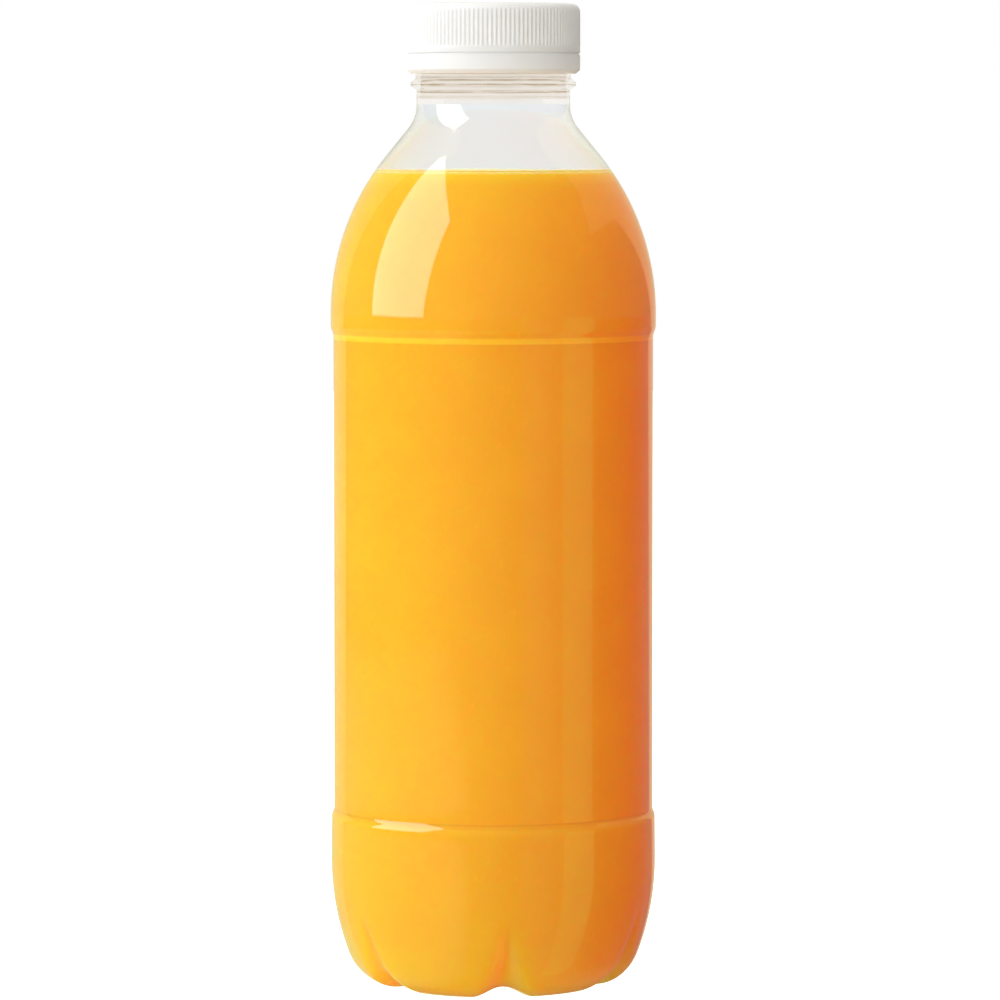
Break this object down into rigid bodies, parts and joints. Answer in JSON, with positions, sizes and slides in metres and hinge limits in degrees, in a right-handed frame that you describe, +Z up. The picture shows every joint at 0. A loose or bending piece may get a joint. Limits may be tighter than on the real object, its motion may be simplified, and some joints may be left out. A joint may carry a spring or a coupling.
{
  "type": "orange juice bottle",
  "caption": "Clear blown juice bottle on grooved feet, filled with orange juice and shut with a ribbed white screw cap and tamper band.",
  "frame": {"origin": "on the floor under the middle of the bottle's base", "axes": "+Z up along the bottle's axis, front towards -Y"},
  "size_m": [0.0754, 0.0756, 0.228],
  "materials": {
    "clear_plastic": "clear glossy blown plastic",
    "orange_juice": "cloudy orange juice",
    "white_cap": "satin white moulded plastic"
  },
  "bodies": {
    "root": {"bottle": "clear_plastic", "juice": "orange_juice", "cap": "white_cap", "tamper_band": "white_cap"}
  },
  "joints": []
}
